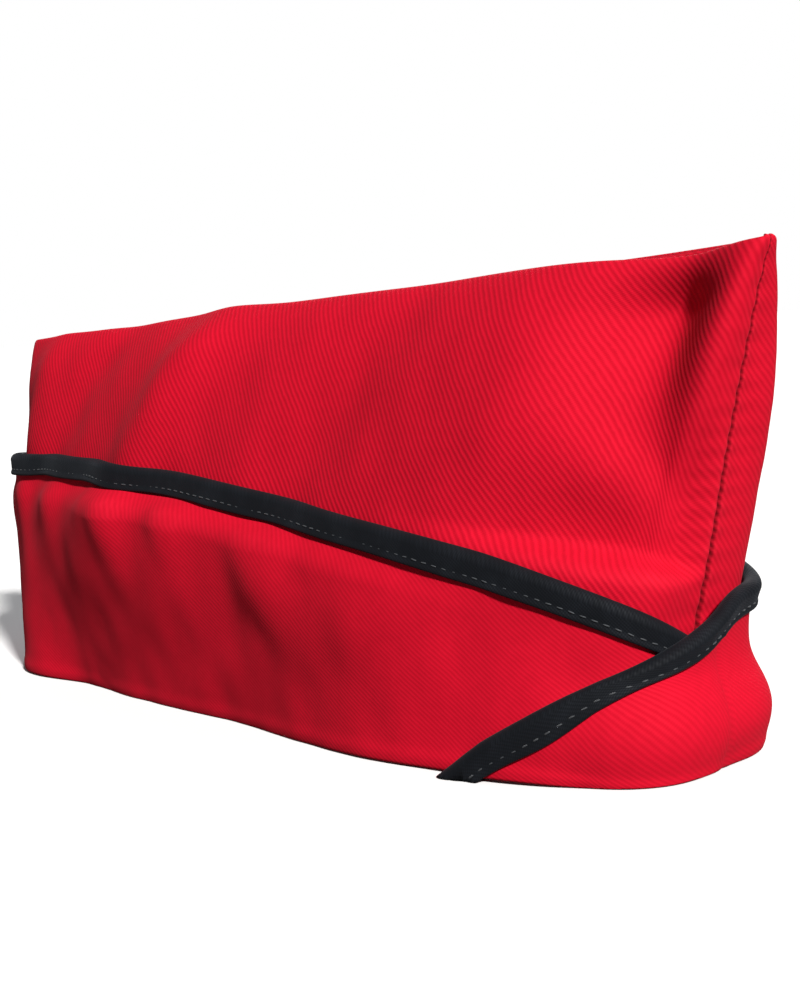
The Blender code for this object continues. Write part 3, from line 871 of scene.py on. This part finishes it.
def thread_stitch(length, radius):
    """Points and faces of one short stitch lying along x, its ends turned down into the cloth."""
    ring = STITCH_SIDES
    last = (STITCH_RINGS - 1) * ring
    points, faces = [], []
    for share in np.linspace(0.0, 1.0, STITCH_RINGS):
        swell = math.sin(math.pi * mix(STITCH_BLUNT, 1.0 - STITCH_BLUNT, share)) ** STITCH_ROUND
        x = (share - 0.5) * length
        z = -radius * (1.0 - math.sin(math.pi * share) ** STITCH_DIP) * STITCH_SINK
        for angle in np.arange(ring) * 2 * math.pi / ring:
            y, lift = radius * swell * math.cos(angle), radius * swell * math.sin(angle)
            points.append((x, y, z + lift))
    for start in range(0, last, ring):
        for k in range(ring):
            a, b = start + k, start + (k + 1) % ring
            faces.append((a, b, b + ring, a + ring))
    faces.append(tuple(range(ring))[::-1])
    faces.append(tuple(range(last, last + ring)))
    return np.array(points), faces


def make_stitches(side, material):
    """The row of thread that sews the piping down, one small mesh for each stitch."""
    start, end = piping_span(side)
    count = int((end - start) * HALF_RIM / STITCH_PITCH)
    turn = start + (np.arange(count) + 0.5) / count * (end - start)
    draw = np.random.default_rng(RUMPLE_SEED)
    out_of_middle = PIPING_THICKNESS / 2 - STITCH_VALLEY * STITCH_SEAT

    def on_tape(at):
        height = edge_height(side, at) - STITCH_LINE * PIPING_WIDTH * edge_slant(side, at)
        middle = standoff(side, at, height) + CURTAIN / 2
        return wall(at, rise_of(at, height), middle + out_of_middle, side), height

    centre, height = on_tape(turn)
    ahead, _ = on_tape(turn + STITCH_AHEAD)
    square = square_to(lambda t, r: folded(t, r, side), turn, rise_of(turn, height))
    x = ahead - centre
    x /= np.linalg.norm(x, axis=1, keepdims=True)
    y = np.cross(square, x)
    y /= np.linalg.norm(y, axis=1, keepdims=True)
    z = np.cross(x, y)
    shape, faces = thread_stitch(STITCH_LENGTH, THREAD / 2)
    points, polygons = [], []
    for i in range(count):
        if centre[i, 2] < STITCH_LOWEST:
            continue
        base = len(points)
        twist = draw.normal(0.0, STITCH_TWIST)
        local = shape * (1.0 + draw.normal(0.0, STITCH_SPREAD))
        x_twisted = x[i] * math.cos(twist) + y[i] * math.sin(twist)
        y_twisted = y[i] * math.cos(twist) - x[i] * math.sin(twist)
        placed = centre[i] + local @ np.array([x_twisted, y_twisted, z[i]])
        points.extend(placed.tolist())
        polygons.extend(tuple(base + k for k in face) for face in faces)
    mesh = bpy.data.meshes.new("stitches_" + side)
    mesh.from_pydata(points, [], polygons)
    mesh.shade_smooth()
    return dress(linked("stitches_" + side, mesh), None, material)


# Materials


class Graph:
    """A material's node tree, with short calls to add to it."""

    def __init__(self, name):
        self.material = bpy.data.materials.new(name)
        self.material.use_nodes = True
        self.nodes = self.material.node_tree.nodes
        self.links = self.material.node_tree.links
        self.shader = self.nodes["Principled BSDF"]

    def set(self, node, inputs):
        for key, value in inputs.items():
            socket = node.inputs[key]
            if isinstance(value, bpy.types.NodeSocket):
                self.links.new(value, socket)
            else:
                socket.default_value = value

    def add(self, kind, inputs, **settings):
        node = self.nodes.new(kind)
        for key, value in settings.items():
            setattr(node, key, value)
        self.set(node, inputs)
        return node

    def maths(self, operation, *values):
        node = self.add("ShaderNodeMath", dict(enumerate(values)), operation=operation)
        return node.outputs[0]

    def total(self, *parts):
        """The sum of some values, each times its share."""
        value, share = parts[0]
        result = self.maths("MULTIPLY", value, share)
        for value, share in parts[1:]:
            result = self.maths("MULTIPLY_ADD", value, share, result)
        return result

    def noise(self, vector, scale, detail):
        inputs = {"Vector": vector, "Scale": scale, "Detail": detail}
        return self.add("ShaderNodeTexNoise", inputs).outputs["Fac"]

    def ranged(self, value, span, to_span):
        inputs = {"Value": value, "From Min": span[0], "From Max": span[1]}
        inputs.update({"To Min": to_span[0], "To Max": to_span[1]})
        return self.add("ShaderNodeMapRange", inputs).outputs[0]

    def blend(self, share, low, high):
        node = self.add("ShaderNodeMix", {0: share, 6: low, 7: high}, data_type="RGBA")
        return node.outputs[2]

    def waves(self, cloth, angle, length, wander):
        """Ribs that run down at an angle from level, this far apart: 0 in a valley, 1 on a rib."""
        lean = math.radians(angle)
        across = (math.sin(lean) / length, math.cos(lean) / length, 0.0)
        dot = self.add("ShaderNodeVectorMath", {0: cloth, 1: across}, operation="DOT_PRODUCT")
        turns = self.maths("ADD", dot.outputs["Value"], wander)
        wave = self.maths("SINE", self.maths("MULTIPLY", turns, 2 * math.pi))
        return self.maths("MULTIPLY_ADD", wave, 0.5, 0.5)

    def bump(self, height, depth):
        inputs = {"Height": height, "Distance": depth, "Strength": 1.0}
        return self.add("ShaderNodeBump", inputs).outputs[0]


def twill(kind):
    """Red cotton twill: diagonal ribs of yarn, paler on the ribs and deeper between them, with
    shade painted into the crown's seams.
    """
    graph = Graph(kind.name)
    cloth = graph.add("ShaderNodeUVMap", {}, uv_map="Cloth").outputs[0]
    slow, middle, fine = (graph.noise(cloth, *noise) for noise in (SLOW, MIDDLE, FINE))
    wander = graph.total((slow, RIB_WANDER_SLOW), (middle, RIB_WANDER_MIDDLE))
    ribs = graph.waves(cloth, kind.angle, kind.rib, wander)
    wander = graph.maths("MULTIPLY", fine, YARN_WANDER)
    yarn = graph.waves(cloth, kind.angle - YARN_LEAN, kind.rib * YARN_PITCH, wander)
    weave = graph.total((ribs, WEAVE_RIBS), (yarn, WEAVE_YARN), (fine, WEAVE_FINE))
    steps = (MID_TONE * (1.0 - kind.contrast), MID_TONE * (1.0 + kind.contrast))
    steps = graph.ranged(weave, WEAVE_RANGE, steps)
    tone = graph.total((steps, 1.0), (middle, TONE_MIDDLE), (slow, TONE_SLOW))
    colour = graph.blend(graph.maths("SUBTRACT", tone, TONE_DROP), DEEP_RED, RED)
    worn = graph.add("ShaderNodeNewGeometry", {}).outputs["Pointiness"]
    wear = graph.maths("MULTIPLY", graph.ranged(worn, WORN_RANGE, (0.0, WEAR)), middle)
    colour = graph.blend(wear, colour, WORN_RED)
    # painted shade in the seams' crevices, darker in the rib valleys than on the ribs
    painted_shade_share = graph.add("ShaderNodeAttribute", {}, attribute_name="painted_seam_shade").outputs["Fac"]
    painted_shade = graph.maths("MULTIPLY", painted_shade_share, graph.ranged(ribs, (0.0, 1.0), PAINTED_SHADE_TICKS))
    graph.set(graph.shader, {
        "Base Color": graph.blend(painted_shade, colour, PAINTED_SEAM_SHADE_RED),
        "Roughness": graph.ranged(weave, ROUGHNESS_RANGE, TWILL_ROUGHNESS),
        "Normal": graph.bump(weave, kind.depth),
        "Specular IOR Level": 0.12,
        "Sheen Weight": 0.04,
        "Sheen Roughness": 0.45,
        "Sheen Tint": RED_SHEEN,
    })
    graph.material.diffuse_color = RED
    return graph.material


def tape_cloth():
    """Blue-black cotton tape: a fine plain weave, a little dusty on what stands proud."""
    graph = Graph("black_cotton_tape")
    cloth = graph.add("ShaderNodeUVMap", {}, uv_map="Cloth").outputs[0]
    slow, fine = (graph.noise(cloth, *noise) for noise in (TAPE_SLOW, TAPE_FINE))
    wander = graph.maths("MULTIPLY", fine, TAPE_WANDER)
    warp, weft = (graph.waves(cloth, *threads, wander) for threads in (WARP, WEFT))
    weave = graph.total((warp, 0.5), (weft, 0.5))
    tone = graph.total((slow, TAPE_TONE), (weave, TAPE_TONE))
    colour = graph.blend(tone, DEEP_BLACK, BLACK)
    dusty = graph.maths("MULTIPLY", graph.ranged(slow, DUST_RANGE, (0.0, DUST_SHARE)), weave)
    graph.set(graph.shader, {
        "Base Color": graph.blend(dusty, colour, DUST),
        "Roughness": graph.ranged(weave, (0.0, 1.0), TAPE_ROUGHNESS),
        "Normal": graph.bump(weave, TAPE_WEAVE),
        "Specular IOR Level": 0.15,
        "Sheen Weight": 0.03,
        "Sheen Roughness": 0.5,
        "Sheen Tint": BLACK_SHEEN,
    })
    graph.material.diffuse_color = BLACK
    return graph.material


def thread():
    """Dark grey sewing thread with a faint twist."""
    graph = Graph("grey_thread")
    place = graph.add("ShaderNodeTexCoord", {}).outputs["Object"]
    twist = graph.noise(place, *TWIST)
    graph.set(graph.shader, {
        "Base Color": graph.blend(twist, DEEP_THREAD_GREY, THREAD_GREY),
        "Roughness": graph.ranged(twist, TWIST_RANGE, THREAD_ROUGHNESS),
        "Normal": graph.bump(twist, THREAD_TWIST),
        "Sheen Weight": 0.2,
    })
    return graph.material


# The studio


def make_camera():
    """The photograph's camera, found by fitting the cap's corners, edges and trims."""
    yaw, pitch, roll = (math.radians(turn) for turn in CAMERA_TURNS)
    right = Vector((math.cos(yaw), math.sin(yaw), 0.0))
    level = Vector((-math.sin(yaw), math.cos(yaw), 0.0))
    ahead = level * math.cos(pitch) - Vector((0.0, 0.0, math.sin(pitch)))
    up = right.cross(ahead)
    rolled_right = right * math.cos(roll) + up * math.sin(roll)
    rolled_up = up * math.cos(roll) - right * math.sin(roll)
    place = Matrix((rolled_right, rolled_up, -ahead)).transposed().to_4x4()
    place.translation = Vector(CAMERA_PLACE)
    camera = linked("camera", bpy.data.cameras.new("camera"))
    camera.matrix_world = place
    camera.data.sensor_fit = "VERTICAL"
    camera.data.sensor_height = CAMERA_SENSOR
    camera.data.sensor_width = CAMERA_SENSOR
    camera.data.lens = CAMERA_LENS
    camera.data.clip_start = CAMERA_CLIP
    bpy.context.scene.camera = camera


def make_floor():
    """A plain pale floor just under the cap."""
    mesh = bpy.data.meshes.new("floor")
    half = FLOOR_HALF
    corners = [(-half, -half, 0), (half, -half, 0), (half, half, 0), (-half, half, 0)]
    mesh.from_pydata(corners, [], [(0, 1, 2, 3)])
    floor = linked("floor", mesh)
    floor.location.z = -FLOOR_DROP
    graph = Graph("pale_floor")
    seen = graph.add("ShaderNodeLightPath", {}).outputs["Is Camera Ray"]
    colour = graph.blend(seen, FLOOR_BOUNCE, FLOOR_SEEN)
    graph.set(graph.shader, {"Base Color": colour, "Roughness": FLOOR_ROUGHNESS})
    mesh.materials.append(graph.material)


def make_sun(sun):
    """A soft light. Its direction is the way to the light."""
    light = bpy.data.lights.new(sun.name, "SUN")
    light.energy = sun.energy
    light.angle = math.radians(sun.angle)
    light.color = sun.colour
    lamp = linked(sun.name, light)
    lamp.rotation_mode = "QUATERNION"
    lamp.rotation_quaternion = Vector(sun.direction).to_track_quat("Z", "Y")


def make_light():
    """A soft light from the cap's front, a weak one from behind it, and pale air."""
    for sun in SUNS:
        make_sun(sun)
    world = bpy.data.worlds.new("pale_air")
    bpy.context.scene.world = world
    world.use_nodes = True
    nodes, links = world.node_tree.nodes, world.node_tree.links
    glow = nodes["Background"]
    glow.inputs["Color"].default_value = AIR
    glow.inputs["Strength"].default_value = AIR_STRENGTH
    seen = nodes.new("ShaderNodeBackground")
    seen.inputs["Color"].default_value = AIR_SEEN
    path = nodes.new("ShaderNodeLightPath")
    either = nodes.new("ShaderNodeMixShader")
    links.new(path.outputs["Is Camera Ray"], either.inputs[0])
    links.new(glow.outputs[0], either.inputs[1])
    links.new(seen.outputs[0], either.inputs[2])
    links.new(either.outputs[0], nodes["World Output"].inputs["Surface"])
    bpy.context.scene.view_settings.view_transform = "Standard"


# The whole cap


def make_cap():
    """All the pieces of the cap."""
    crown_cloth = twill(CROWN_TWILL)
    curtain_cloth = twill(CURTAIN_TWILL)
    tape = tape_cloth()
    cotton = thread()
    tables = cloth_tables()
    for side in SIDES:
        crown = make_crown(side, crown_cloth, tables)
        curtain = make_curtain(side, curtain_cloth, tables)
        piping = make_piping(side, tape)
        make_stitches(side, cotton)
    gusset = make_gusset(crown_cloth)


make_camera()
make_floor()
make_light()
make_cap()
